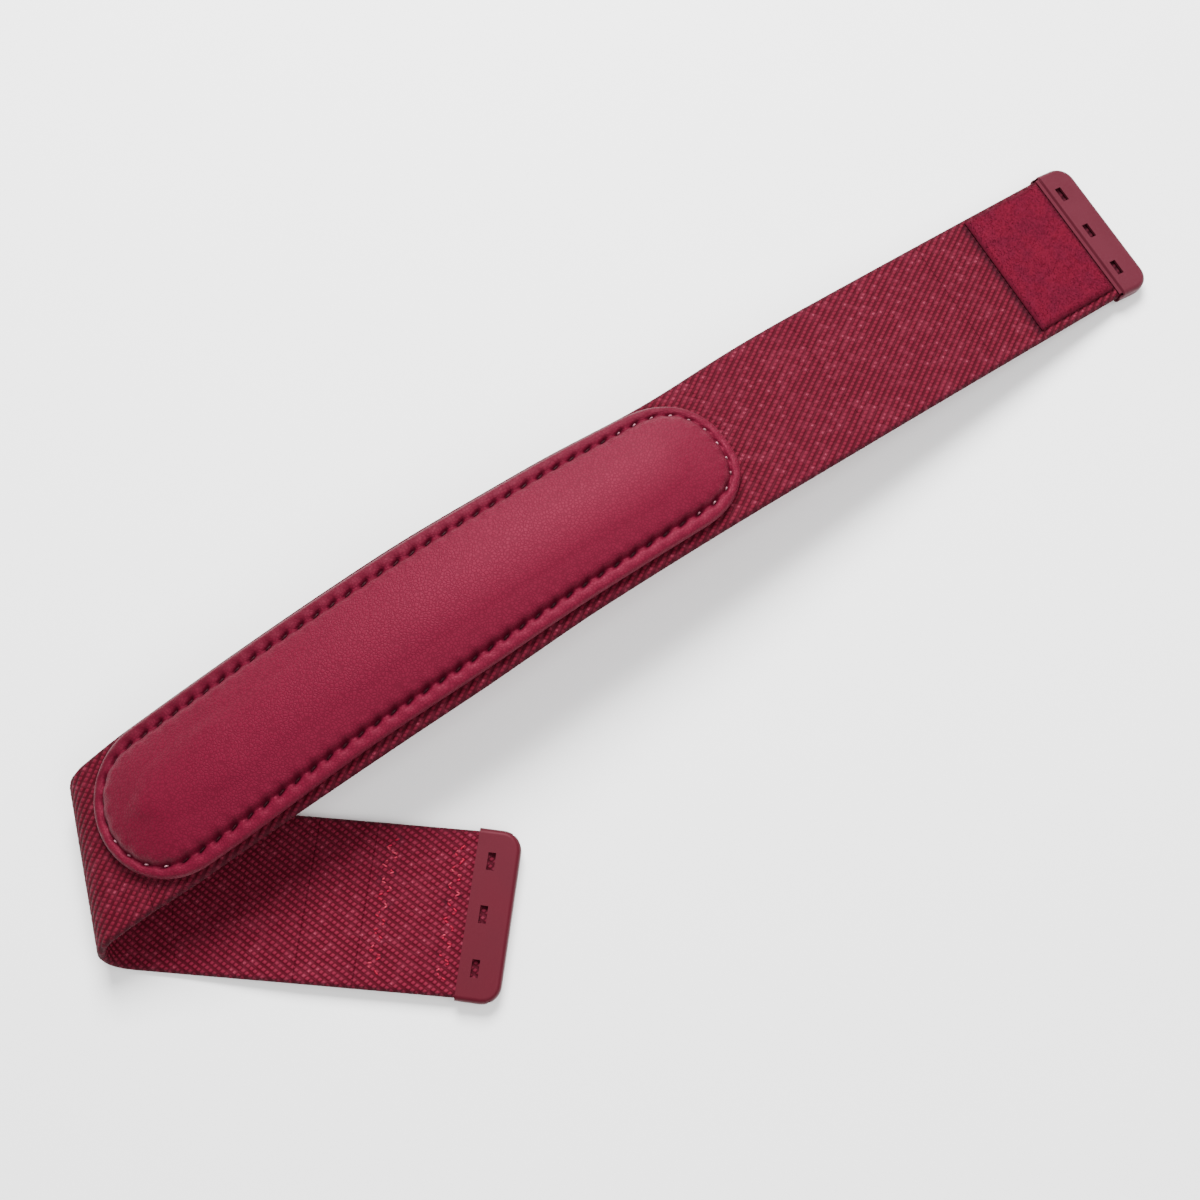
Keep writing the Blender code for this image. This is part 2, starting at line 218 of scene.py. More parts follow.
def pick(piece, wanted, kind="FACE"):
    # selects the faces or edges whose middle, and normal, pass the test
    bpy.ops.object.mode_set(mode="OBJECT")
    mesh = piece.data
    for group in (mesh.vertices, mesh.edges, mesh.polygons):
        group.foreach_set("select", [False] * len(group))
    if kind == "FACE":
        for face in mesh.polygons:
            face.select = wanted(face.center, face.normal)
    else:
        for edge in mesh.edges:
            a, b = (mesh.vertices[i].co for i in edge.vertices)
            edge.select = wanted(a, b)
    bpy.ops.object.mode_set(mode="EDIT")
    bpy.ops.mesh.select_mode(type=kind)


def bake(piece, kind, **settings):
    # adds a modifier and applies it
    bpy.ops.object.mode_set(mode="OBJECT")
    modifier = piece.modifiers.new(kind.lower(), kind)
    for name, value in settings.items():
        setattr(modifier, name, value)
    bpy.context.view_layer.objects.active = piece
    bpy.ops.object.modifier_apply(modifier=modifier.name)


def slab(name, start, end, wide, counts, thick, height=0):
    # a grid along the band, made thick
    deselectAll()
    bpy.ops.mesh.primitive_grid_add(
        x_subdivisions=counts[0], y_subdivisions=counts[1], size=1,
        location=((start + end) / 2, 0, height),
    )
    piece = chosen(name)
    piece.scale = (end - start, wide, 1)
    applyPlace()
    bake(piece, "SOLIDIFY", thickness=thick, offset=0)
    return piece


def readSpots(piece):
    spots = np.empty(len(piece.data.vertices) * 3)
    piece.data.vertices.foreach_get("co", spots)
    return spots.reshape(-1, 3)


def setSpots(piece, spots):
    piece.data.vertices.foreach_set("co", np.asarray(spots, float).ravel())
    piece.data.update()


def setAttribute(piece, name, values):
    layer = piece.data.attributes.new(name, "FLOAT", "POINT")
    layer.data.foreach_set("value", np.asarray(values, np.float32))


def setBandMap(piece, u, v):
    # the UV map holds band coordinates in millimetres
    layer = piece.data.uv_layers.get("band") or piece.data.uv_layers.new(name="band")
    corners = np.empty(len(piece.data.loops), int)
    piece.data.loops.foreach_get("vertex_index", corners)
    layer.data.foreach_set("uv", (np.stack([u, v], -1)[corners] / mm).ravel())
    for other in [each for each in piece.data.uv_layers if each.name != "band"]:
        piece.data.uv_layers.remove(other)


def dress(piece, material):
    piece.data.materials.clear()
    piece.data.materials.append(material)


def addObject(name, data):
    piece = bpy.data.objects.new(name, data)
    bpy.context.scene.collection.objects.link(piece)
    return piece


def meshPiece(name, spots, faces):
    mesh = bpy.data.meshes.new(name)
    mesh.from_pydata([tuple(spot) for spot in spots], [], faces)
    return addObject(name, mesh)


# Shader helpers: a Wire is a node's output, and sums on it add Math nodes
class Wire:
    def __init__(self, look, socket):
        self.look, self.socket = look, socket

    def join(self, operation, first, second=None):
        inputs = {i: x for i, x in enumerate((first, second)) if x is not None}
        return self.look.add("ShaderNodeMath", {"operation": operation}, inputs)

    def __add__(self, other):
        return self.join("ADD", self, other)

    def __sub__(self, other):
        return self.join("SUBTRACT", self, other)

    def __rsub__(self, other):
        return self.join("SUBTRACT", other, self)

    def __mul__(self, other):
        return self.join("MULTIPLY", self, other)

    def __truediv__(self, other):
        return self.join("DIVIDE", self, other)

    def __abs__(self):
        return self.join("ABSOLUTE", self)

    __radd__ = __add__
    __rmul__ = __mul__

    def floor(self):
        return self.join("FLOOR", self)

    def remainder(self):
        return self.join("FRACT", self)

    def ramp(self, low, high, toLow=0.0, toHigh=1.0):
        # an eased step from one value to another
        sockets = {0: self, 1: low, 2: high, 3: toLow, 4: toHigh}
        return self.look.add("ShaderNodeMapRange", {"interpolation_type": "SMOOTHSTEP"}, sockets)


class Look:
    def __init__(self, name, **sockets):
        self.material = bpy.data.materials.new(name)
        self.material.use_nodes = True
        self.tree = self.material.node_tree
        self.shader = self.tree.nodes["Principled BSDF"]
        for socket, value in sockets.items():
            self.feed(socket, value)

    def feed(self, socket, value):
        # sets or links one of the shader's sockets, named without its spaces
        names = {each.name.replace(" ", ""): each for each in self.shader.inputs}
        self.put(names[socket], value)

    def put(self, socket, value):
        if isinstance(value, Wire):
            self.tree.links.new(value.socket, socket)
        else:
            socket.default_value = value

    def add(self, kind, settings=None, sockets=None, output=0):
        node = self.tree.nodes.new(kind)
        for name, value in (settings or {}).items():
            setattr(node, name, value)
        for name, value in (sockets or {}).items():
            self.put(node.inputs[name], value)
        return Wire(self, node.outputs[output])

    def mix(self, share, first, second, how="MIX"):
        settings = {"data_type": "RGBA", "blend_type": how}
        return self.add("ShaderNodeMix", settings, {0: share, 6: first, 7: second}, 2)

    def place(self):
        return self.add("ShaderNodeTexCoord", output="Object")

    def bandPlace(self):
        both = self.add("ShaderNodeUVMap", {"uv_map": "band"})
        sockets = {"Vector": both}
        return both, *(self.add("ShaderNodeSeparateXYZ", None, sockets, i) for i in (0, 1))

    def attribute(self, name):
        return self.add("ShaderNodeAttribute", {"attribute_name": name}, None, "Fac")

    def noise(self, where, scale, detail=2.0, roughness=0.5):
        sockets = {"Vector": where, "Scale": scale, "Detail": detail, "Roughness": roughness}
        return self.add("ShaderNodeTexNoise", None, sockets)

    def bump(self, height, depth, strength=1.0, under=None):
        sockets = {"Height": height, "Distance": depth, "Strength": strength}
        if under:
            sockets["Normal"] = under
        return self.add("ShaderNodeBump", None, sockets)


def colour(red, green, blue):
    # a colour as seen on a screen, from 0 to 255, made linear
    parts = [x / 255 for x in (red, green, blue)]
    return (*(x / 12.92 if x < 0.04045 else ((x + 0.055) / 1.055) ** 2.4 for x in parts), 1.0)


# The weave: a twill of slanting ribs, each a row of small knots. The two sides show the same knots,
# joined along the ribs in front and standing apart on the back.
weave = {
    "width": 30 * mm,
    "thick": 1.5 * mm,
    "repeat": 2.27 * mm,
    "rise": 1.33 * mm,
    "step": 0.28 * mm,
    "rows": 100,
    "frontRib": (0.13, 0.38),
    "backRib": (0.12, 0.40),
    "knot": (0.14, 0.48),
    "frontNotch": 0.7,
    "backNotch": 0.9,
    "relief": 0.12 * mm,
    "ground": 0.6,
    "turnGap": 0.6 * mm,
    "turnRadius": 2.2 * mm,
    "edgeRound": 0.75 * mm,
    "selvedge": 14.3 * mm,
    "wander": 0.35,
    "strayTone": 0.4,
    "glintTone": 0.33,
    "bump": 0.15 * mm,
}


def weaveHeight(u, v, back):
    across, along = u / weave["repeat"] - v / weave["rise"], 2 * u / weave["repeat"] + v / weave["rise"]
    awayRib, awayKnot = (np.abs(turn - np.floor(turn) - 0.5) for turn in (across, along))
    top, low = (np.where(back, weave["backRib"][i], weave["frontRib"][i]) for i in (0, 1))
    rib = 1 - smooth((awayRib - top) / (low - top))
    start, end = weave["knot"]
    notch = np.where(back, weave["backNotch"], weave["frontNotch"])
    return rib * (1 - notch * smooth((awayKnot - start) / (end - start)))


def webbingLook():
    look = Look("webbing", SpecularIORLevel=0.2, SpecularTint=colour(255, 170, 190))
    both, u, v = look.bandPlace()
    back = look.attribute("backFace")
    uneven = (look.noise(both, 0.35, 2.0) - 0.5) * weave["wander"]
    across = u / (weave["repeat"] / mm) - v / (weave["rise"] / mm) + uneven * 0.5
    along = u * (2 * mm / weave["repeat"]) + v / (weave["rise"] / mm) + uneven
    awayRib, awayKnot = abs(across.remainder() - 0.5), abs(along.remainder() - 0.5)
    (top, low), (backTop, backLow) = weave["frontRib"], weave["backRib"]
    frontRib, backRib = awayRib.ramp(top, low, 1, 0), awayRib.ramp(backTop, backLow, 1, 0)
    notch = back * (weave["backNotch"] - weave["frontNotch"]) + weave["frontNotch"]
    height = (frontRib + back * (backRib - frontRib)) * (1 - notch * awayKnot.ramp(*weave["knot"]))

    # each knot has its own tone, and a few get a painted glint
    knot = look.add("ShaderNodeCombineXYZ", None, {"X": across.floor(), "Y": along.floor()})
    chance = look.add("ShaderNodeTexWhiteNoise", {"noise_dimensions": "2D"}, {"Vector": knot})
    fibre = look.noise(both, 6.0, 3.0, 0.65)
    patchy = look.noise(both, 0.09, 2.0)
    edge = abs(v).ramp(weave["selvedge"] / mm - 0.3, weave["selvedge"] / mm + 0.4)
    # painted shade: the grooves between the ribs get a darker colour than the knots' tops, besides the
    # real relief
    groove = look.mix(back, colour(46, 1, 9), colour(52, 1, 11))
    top = look.mix(back, colour(80, 11, 28), colour(94, 18, 37))
    shade = look.mix(height.ramp(0.05, 0.75), groove, top)
    stray = (chance - 0.5) * weave["strayTone"] + (fibre - 0.5) * weave["strayTone"]
    shade = look.mix(stray, shade, colour(108, 36, 54))
    shade = look.mix(patchy.ramp(0.4, 0.75, 0, 0.16), shade, colour(58, 4, 20))
    # painted highlight: the glint mixes a pale pink into the base colour
    glint = chance.ramp(0.86, 0.97) * height.ramp(0.8, 1.0) * fibre.ramp(0.47, 0.6)
    shade = look.mix(glint * weave["glintTone"], shade, colour(170, 84, 104))
    shade = look.mix(edge * 0.5, shade, colour(36, 3, 12))
    # painted shade: a shadow line beside each patch's inner edge, shade inside the tab pockets and at the
    # back's needle holes
    shade = look.mix(look.attribute("seamShade") * 0.85, shade, colour(20, 2, 8))
    look.feed("BaseColor", shade)
    look.feed("Roughness", 0.78 - glint * 0.2)
    fine = look.bump(fibre, 0.05 * mm, 0.5)
    look.feed("Normal", look.bump(height, weave["bump"], 0.8, fine))
    return look.material


# Painted shade on the cloth: a shadow line beside each patch's inner edge, shade in the tabs and dark
# needle holes
paintedShade = {
    "gap": 0.3 * mm,
    "lineReach": 0.95 * mm,
    "front": 0.8,
    "back": 0.45,
    "holeReach": 0.45 * mm,
    "holeLong": 1.4,
}


def seamShade(u, v, back):
    shade = np.zeros_like(u)
    for side, outward in (("right", 1), ("left", -1)):
        inner = patch[side + "Start"] if outward > 0 else patch[side + "End"]
        beside = outward * (inner - u) - paintedShade["gap"]
        line = np.exp(-((beside / paintedShade["lineReach"]) ** 2)) * (np.abs(v) < patch["wide"] / 2)
        pocket = smooth((outward * (u - tab[side + "Edge"]) - paintedShade["gap"]) / mm)
        either = paintedShade["front"] * np.maximum(line, pocket)
        shade = np.maximum(shade, np.where(back, paintedShade["back"] * pocket, either))
        chance = np.random.default_rng(3 + outward)
        for row in zigzagRows(side):
            for number in range(zigzag["steps"] + 1):
                holeU, holeV = zigzagPoint(row, number)
                reach = paintedShade["holeReach"] * (0.6 + chance.random())
                depth = chance.random() ** 2
                away = np.hypot(u - holeU, (v - holeV) / paintedShade["holeLong"]) / reach
                shade = np.maximum(shade, np.where(back, depth * np.exp(-(away**2)), 0))
    return shade


def webbingPiece(name, start, end, material):
    long = end - start
    counts = (round(long / weave["step"]), weave["rows"])
    piece = slab(name, start, end, weave["width"], counts, weave["thick"])
    u, v, h = readSpots(piece).T
    back = h < 0
    middles = np.empty(len(piece.data.polygons) * 3)
    piece.data.polygons.foreach_get("center", middles)
    onCut = np.abs(np.abs(middles[::3] - (start + end) / 2) - long / 2) < 0.001 * mm
    u = u + skew(u, v)
    beyond = (np.abs(v) - weave["width"] / 2 + weave["edgeRound"]) / weave["edgeRound"]
    roundness = np.sqrt(np.clip(1 - np.clip(beyond, 0, 0.955) ** 2, 0, 1))
    relief = weave["relief"] * (weaveHeight(u, v, back) - weave["ground"]) * roundness
    h = h * roundness + np.where(back, -relief, relief)
    setSpots(piece, layOnBand(np.stack([u, v, h], -1)))
    setBandMap(piece, u, v)
    setAttribute(piece, "backFace", back)
    setAttribute(piece, "seamShade", seamShade(u, v, back))
    piece.data.polygons.foreach_set("use_smooth", ~onCut)
    dress(piece, material)
    return piece


def squareToFold(fromU, toU):
    # two points of the fold, straight across its line
    a, b = bandPoint(fromU), bandPoint(toU)
    line = Vector(foldLine)
    return a, b - (b - a).dot(line) * line


def makeBand():
    look = webbingLook()
    turnEnd = weave["turnGap"]
    turnLong = math.pi * weave["turnRadius"]
    rightTurn = (patch["rightStart"] - turnEnd - turnLong, patch["rightStart"] - turnEnd)
    leftTurn = (patch["leftEnd"] + turnEnd + turnLong, patch["leftEnd"] + turnEnd)
    foldU = lie["foldU"]
    # name, start and end along the band, bodies, where the bend starts and ends, solids
    sections = (
        ("bandMain", 3, 131, ["pad_section"], None, ["band_main"]),
        ("bandFoldUpper", foldMiddleU / mm, 3, ["pad_section", "fold_middle"],
         squareToFold(foldU, foldMiddleU), ["band_fold"]),
        ("bandFoldLower", -29, foldMiddleU / mm, ["fold_middle", "left_inner"],
         squareToFold(foldMiddleU, tailU), ["band_fold"]),
        ("bandLeftStretch", -54, -29, ["left_inner", "left_outer"],
         (bandPoint(-30 * mm), bandPoint(-53 * mm)), ["band_left_inner", "band_left_outer"]),
        ("bandLeftTurn", -64.8, -54, ["left_outer", "left_end"],
         [bandPoint(x) for x in leftTurn], ["band_left_outer"]),
        ("bandLeftEnd", -89.4, -64.8, ["left_end"], None, ["band_left_end"]),
        ("bandRightFlex", 131, 156, ["pad_section", "right_inner"],
         (bandPoint(135 * mm), bandPoint(151 * mm)), ["band_right_inner"]),
        ("bandRightStretch", 156, 188, ["right_inner", "right_outer"],
         (bandPoint(158 * mm), bandPoint(186 * mm)), ["band_right_outer"]),
        ("bandRightTurn", 188, 200.3, ["right_outer", "right_end"],
         [bandPoint(x) for x in rightTurn], ["band_right_outer"]),
        ("bandRightEnd", 200.3, 226.5, ["right_end"], None, ["band_right_end"]),
    )
    for name, start, end, bodies, bend, solids in sections:
        piece = webbingPiece(name, start * mm, end * mm, look)
        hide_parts(*solids)
        if bend:
            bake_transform(piece)
        else:
            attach(piece, bodies[0])
        held = "folded" if "Fold" in name else "laid"
        (end - start) * mm


# The pad: a foam cushion under soft leather, sewn down round its edge
pad = {
    "left": -2.2 * mm,
    "right": 129.6 * mm,
    "half": 14.1 * mm,
    "seam": 2.7 * mm,
    "face": 0.75 * mm,
    "groove": 2.05 * mm,
    "stitch": 3.35 * mm,
    "perStitch": 10,
    "dent": 0.7 * mm,
    "dentLong": 0.98 * mm,
    "dentWide": 0.4 * mm,
    "slant": 0.33,
    "pucker": 0.1 * mm,
    "puckerReach": 1.5 * mm,
    "puckerPlace": 0.7,
    "skin": 0.5 * mm,
    "thread": 0.17 * mm,
    "inside": ((3.8, 0.3), (3.85, 1.2), (4.15, 2.2), (4.6, 2.8), (5.3, 3.15), (6.2, 3.52), (7.4, 3.92),
               (9.0, 4.3), (10.6, 4.56), (12.4, 4.74), (13.4, 4.79)),
    "rise": 0.3 * mm,
    "riseFrom": (5 * mm, 5 * mm),
    "nearShift": 1.1 * mm,
    "nearFade": 12 * mm,
    "nearShiftFrom": (15 * mm, 35 * mm),
    "capReach": 1.5 * mm,
    "capPlace": 122 * mm,
    "capFade": 10 * mm,
    "endPush": 1.25 * mm,
    "pushFade": 6 * mm,
    "pushTurn": 1.2,
    "rimPush": 0.45,
    "rimMiddle": 1.3 * mm,
    "endDent": 0.5,
}


def layOnPad(spots):
    # the pad's near edge lies further in than its far one, its right end reaches on along it, and the
    # seam runs closer to the edge round both ends
    u, v, h = np.asarray(spots, float).T
    past = u - np.clip(u, pad["left"] + pad["half"], pad["right"] - pad["half"])
    out = np.maximum(np.hypot(past, v), 0.01 * mm)
    fromSeam = pad["half"] - out - pad["seam"]
    onRim = 1 + (1 - pad["rimPush"]) * fromSeam / pad["seam"]
    push = np.where(fromSeam < 0, onRim, 1 - smooth(fromSeam / pad["pushFade"]))
    push = push * pad["endPush"] * smooth(pad["pushTurn"] * np.abs(past) / out)
    u, v = u + push * past / out, v + push * v / out
    cap = np.exp(-(((u - pad["capPlace"]) / pad["half"]) ** 2)) * smooth(-v / pad["capFade"])
    inward = smooth(-v / pad["nearFade"]) * fadeIn(u, *pad["nearShiftFrom"])
    return layOnBand(np.stack([u + pad["capReach"] * cap, v + pad["nearShift"] * inward, h], -1))


padStraight = pad["right"] - pad["left"] - 2 * pad["half"]
seamRound = 2 * padStraight + 2 * math.pi * (pad["half"] - pad["seam"])
stitchCount = round(seamRound / pad["stitch"])


def aroundPad(share):
    # the pad's middle line and the way out from it, after this share of the way round the seam
    left, right = pad["left"] + pad["half"], pad["right"] - pad["half"]
    reach = pad["half"] - pad["seam"]
    s = (np.asarray(share, float) % 1.0) * seamRound
    turn = math.pi * reach
    near = s / padStraight
    rightTurn = (s - padStraight) / reach
    far = (s - padStraight - turn) / padStraight
    leftTurn = (s - 2 * padStraight - turn) / reach
    angle = np.select(
        [near < 1, rightTurn < math.pi, far < 1], [0 * s, rightTurn, math.pi + 0 * s], math.pi + leftTurn
    )
    places = [left + near * padStraight, right + 0 * s, right - far * padStraight]
    u = np.select([near < 1, rightTurn < math.pi, far < 1], places, left)
    return u, np.stack([np.sin(angle), -np.cos(angle)], -1)


def curveThrough(points, per):
    # a Catmull-Rom curve through the points
    p = np.array([points[0], *points, points[-1]], float)
    t = np.linspace(0, 1, per, endpoint=False)[:, None]
    parts = []
    for a, b, c, d in zip(p, p[1:], p[2:], p[3:]):
        squares, cubes = 2 * a - 5 * b + 4 * c - d, 3 * b - a - 3 * c + d
        parts.append(0.5 * (2 * b + (c - a) * t + squares * t**2 + cubes * t**3))
    return np.concatenate([*parts, p[-1:]])


def leatherLook():
    look = Look("softLeather", SpecularIORLevel=0.22, SpecularTint=colour(255, 130, 160))
    where = look.place()
    wander = look.add("ShaderNodeTexNoise", None, {"Vector": where, "Scale": 1500.0}, "Color")
    drift = {"operation": "MULTIPLY_ADD"}
    away = {0: wander, 1: (0.0003,) * 3, 2: where}
    bent = look.add("ShaderNodeVectorMath", drift, away)
    cells = {"Vector": bent, "Scale": 1700.0}
    crease = look.add("ShaderNodeTexVoronoi", {"feature": "DISTANCE_TO_EDGE"}, cells)
    pebble = crease.ramp(0.0, 0.22)
    fine = look.noise(where, 5200.0, 3.0, 0.6)
    broad = look.noise(where, 55.0, 2.0)
    hole = look.attribute("stitchHoleShade")
    tone = look.mix(broad.ramp(0.3, 0.7, 0, 0.35), colour(80, 12, 31), colour(75, 10, 28))
    tone = look.mix((1 - pebble) * 0.4, tone, colour(46, 4, 14))
    # painted shade: the rim on the pad's far side is painted darker
    tone = look.mix(look.attribute("farRimShade") * 0.5, tone, colour(46, 4, 14))
    # painted shade: the stitch-hole dents are darkened in the leather's colour
    tone = look.mix(hole * 0.66, tone, colour(26, 2, 8))
    look.feed("BaseColor", tone)
    look.feed("Roughness", 0.56 - pebble * 0.06 + (fine - 0.5) * 0.12 + hole * 0.3)
    grain = look.bump(pebble, 0.05 * mm, 0.6)
    look.feed("Normal", look.bump(fine, 0.02 * mm, 0.5, grain))
    return look.material


def foamLook():
    look = Look("foam", Roughness=0.95)
    pores = look.add("ShaderNodeTexVoronoi", None, {"Vector": look.place(), "Scale": 1400.0})
    look.feed("BaseColor", look.mix(pores.ramp(0.1, 0.7), colour(88, 86, 90), colour(58, 56, 60)))
    look.feed("Normal", look.bump(pores, 0.2 * mm))
    return look.material


# The foam cushion, made large for the cloth solver and blown up a little
filling = {
    "grow": 10.0,
    "voxel": 1.2 * mm,
    "heldBelow": 0.8 * mm,
    "quality": 6,
    "pressure": 4,
    "frames": 20,
    "cap": 0.4 * mm,
    "smoothing": 12,
}


def fillCushion():
    grow = filling["grow"]
    inset, first = pad["inside"][0]
    reach = pad["half"] * grow - inset * mm * grow
    tall = first * mm * grow
    right = (pad["right"] - pad["half"]) * grow
    deselectAll()
    bpy.ops.mesh.primitive_cylinder_add(
        vertices=48, radius=reach, depth=tall, location=(right, 0, tall / 2)
    )
    cushion = chosen("padCushion")
    applyPlace()
    pick(cushion, lambda a, b: max(a.x, b.x) < right - reach * 0.001, "EDGE")
    bpy.ops.transform.translate(value=(-padStraight * grow, 0, 0))
    pick(cushion, lambda place, normal: normal.z > 0.9)
    for (past, low), (further, high) in zip(pad["inside"], pad["inside"][1:]):
        bpy.ops.mesh.inset(thickness=(further - past) * mm * grow, depth=0)
        bpy.ops.transform.translate(value=(0, 0, (high - low) * mm * grow))
    bake(cushion, "REMESH", mode="VOXEL", voxel_size=filling["voxel"] * grow)
    before = readSpots(cushion)
    held = cushion.vertex_groups.new(name="held")
    low = np.flatnonzero(before[:, 2] < filling["heldBelow"] * grow)
    held.add(low.tolist(), 1.0, "REPLACE")
    cloth = cushion.modifiers.new("filling", "CLOTH")
    cloth.settings.quality = filling["quality"]
    cloth.settings.use_pressure = True
    cloth.settings.uniform_pressure_force = filling["pressure"]
    cloth.settings.effector_weights.gravity = 0
    cloth.settings.vertex_group_mass = "held"
    for step in range(1, filling["frames"] + 1):
        bpy.context.scene.frame_set(step)
    bpy.context.view_layer.objects.active = cushion
    bpy.ops.object.modifier_apply(modifier=cloth.name)
    bpy.context.scene.frame_set(1)
    moved = readSpots(cushion) - before
    far = np.linalg.norm(moved, axis=1, keepdims=True)
    cap = filling["cap"] * grow
    setSpots(cushion, before + moved * np.minimum(1, cap / np.maximum(far, 1e-9)))
    print("stage: cushion filled, moved up to", round(float(far.max()) / grow / mm, 2), "mm")
    bake(cushion, "SMOOTH", factor=0.5, iterations=filling["smoothing"])
    bake(cushion, "SUBSURF", levels=1, render_levels=1)
    spots = readSpots(cushion) / grow
    spots[:, 2] += pad["face"]
    setSpots(cushion, spots)
    return cushion


def crownLift(inset):
    # how far the filling may lift the cover, as a share, nothing near the seam
    return fadeIn(inset, *pad["riseFrom"])


def padInset(spots):
    # how far in from the pad's edge each place is
    left, right = pad["left"] + pad["half"], pad["right"] - pad["half"]
    fromMiddle = spots[:, 0] - np.clip(spots[:, 0], left, right)
    return pad["half"] - np.hypot(fromMiddle, spots[:, 1])


def padCover(cushion):
    # rings once round the pad, from the crown's middle line, down over the rim and in under it
    half, seam, groove = pad["half"] / mm, pad["seam"] / mm, pad["groove"] / mm
    crown = curveThrough(
        [(half, 5.45), (12.4, 5.4), (10.6, 5.22), (9.0, 4.96), (7.4, 4.6), (6.2, 4.27), (5.2, 3.95),
         (4.5, 3.7), (3.95, 3.44), (3.5, 3.1), (3.15, 2.65), (2.9, 2.25), (seam, groove)], 4)
    rim = curveThrough(
        [(seam, groove), (2.5, groove + 0.04), (2.2, 2.2), (1.8, 2.3), (1.35, 2.33), (0.95, 2.28),
         (0.55, 2.12), (0.22, 1.82), (0.03, 1.45), (0.0, 1.1), (0.15, 0.65), (0.5, 0.36), (0.9, 0.28)], 3)
    hem = curveThrough([(0.9, 0.28), (2.0, 0.26), (4.4, 0.26), (4.6, 0.6), (4.4, 0.85)], 2)
    inner = curveThrough(
        [(4.4, 0.85), (2.9, 0.95), (1.5, 0.95), (1.0, 1.3), (1.1, 1.8), (1.6, 1.8), (2.2, 1.45),
         (3.2, 1.4), (3.6, 2.0), (4.1, 2.75), (5.2, 3.3), (7.4, 4.0), (10.6, 4.66), (half, 4.9)], 2)
    profile = np.concatenate([crown, rim[1:], hem[1:], inner[1:]]) * mm
    inset, height = profile.T
    turns = stitchCount * pad["perStitch"]
    share = np.arange(turns) / turns
    u, way = aroundPad(share)

    # every ring against every place round the seam
    insets, shares = np.meshgrid(inset, share, indexing="ij")
    heights = np.repeat(height[:, None], turns, 1)
    outside = np.arange(len(inset))[:, None] < len(crown) + len(rim) - 8
    phase = shares * stitchCount
    nearest = (phase - np.round(phase)) * pad["stitch"]
    sideways = insets - pad["seam"] - pad["slant"] * nearest
    dent = np.exp(-((nearest / pad["dentLong"]) ** 4) - (sideways / pad["dentWide"]) ** 2) * outside
    dent *= 1 - pad["endDent"] * np.abs(way[:, 0])
    ripple = np.cos(2 * math.pi * phase)
    fromSeam = np.abs(insets - pad["seam"]) / pad["puckerReach"]
    pucker = ripple * np.exp(-((fromSeam - pad["puckerPlace"]) ** 2) * 4) * outside
    heights = heights - pad["dent"] * dent - pad["pucker"] * pucker
    reach = pad["half"] - insets
    spots = np.stack(
        [u[None, :] + reach * way[None, :, 0], reach * way[None, :, 1], pad["face"] + heights], -1
    )
    rings, count = insets.shape
    index = np.arange(rings * count).reshape(rings, count)
    after = np.roll(index, -1, 1)
    faces = np.stack([index[:-1], index[1:], after[1:], after[:-1]], -1).reshape(-1, 4)
    cover = meshPiece("padCover", spots.reshape(-1, 3), faces.tolist())
    # where the leather is painted dark as shade in the stitch-hole dents
    setAttribute(cover, "stitchHoleShade", dent.ravel())
    # where the far side's rim is painted darker, as shade
    onRim = np.exp(-(((insets - pad["rimMiddle"]) / mm) ** 2)) * outside * smooth(way[:, 1])
    setAttribute(cover, "farRimShade", onRim.ravel())

    # the crown takes the filled cushion's shape, fading out towards the seam
    makeActive(cover)
    before = readSpots(cover)
    crownShare = crownLift(insets) * (np.arange(rings)[:, None] < len(crown))
    group = cover.vertex_groups.new(name="crown")
    for level in range(len(crown)):
        weight = float(crownShare[level, 0])
        if weight > 0:
            group.add(index[level].tolist(), weight, "REPLACE")
    bake(cover, "SHRINKWRAP", target=cushion, wrap_method="PROJECT", wrap_mode="ABOVE_SURFACE",
         use_project_z=True, use_negative_direction=True, use_positive_direction=True,
         offset=pad["skin"], vertex_group="crown")
    after = readSpots(cover)
    lift = np.clip(after[:, 2] - before[:, 2], 0, pad["rise"])
    before[:, 2] += lift
    setSpots(cover, before)
    cover.vertex_groups.clear()

    bpy.ops.object.mode_set(mode="EDIT")
    bpy.ops.mesh.select_all(action="SELECT")
    bpy.ops.mesh.remove_doubles(threshold=0.005 * mm)
    faceOutward()
    spots = readSpots(cover)
    setBandMap(cover, spots[:, 0], spots[:, 1])
    setSpots(cover, layOnPad(spots))
    cover.data.shade_smooth()
    return cover


# Threads: one short stitch, its ends dipping into the cloth, copied along a row
def threadLook(name, dark, light):
    look = Look(name, SpecularIORLevel=0.12, CoatRoughness=0.12)
    where = look.place()
    strand = look.noise(where, 3200.0, 2.0, 0.6)
    shine = look.attribute("shine")
    tone = look.mix(strand.ramp(0.35, 0.7), dark, light)
    # painted highlight: shine mixes a pinkish white into the thread's colour, besides a real coat
    look.feed("BaseColor", look.mix(shine * 0.7, tone, colour(205, 140, 155)))
    look.feed("Roughness", 0.5 + strand * 0.2 - shine * 0.3)
    look.feed("CoatWeight", shine * 0.7)
    look.feed("Normal", look.bump(strand, 0.06 * mm))
    return look.material


def stitchPattern(radius):
    # one stitch along x from 0 to 1, its section round
    deselectAll()
    bpy.ops.mesh.primitive_cylinder_add(
        vertices=6, radius=radius, depth=1, location=(0.5, 0, 0), rotation=(0, math.pi / 2, 0)
    )
    stitch = chosen("stitchPattern")
    applyPlace()
    bpy.ops.object.mode_set(mode="EDIT")
    for cut in (0.12, 0.3, 0.5, 0.7, 0.88):
        bpy.ops.mesh.select_all(action="SELECT")
        bpy.ops.mesh.bisect(plane_co=(cut, 0, 0), plane_no=(1, 0, 0))
    bpy.ops.object.mode_set(mode="OBJECT")
    spots = readSpots(stitch)
    faces = [tuple(face.vertices) for face in stitch.data.polygons]
    bpy.data.objects.remove(stitch)
    return spots, faces


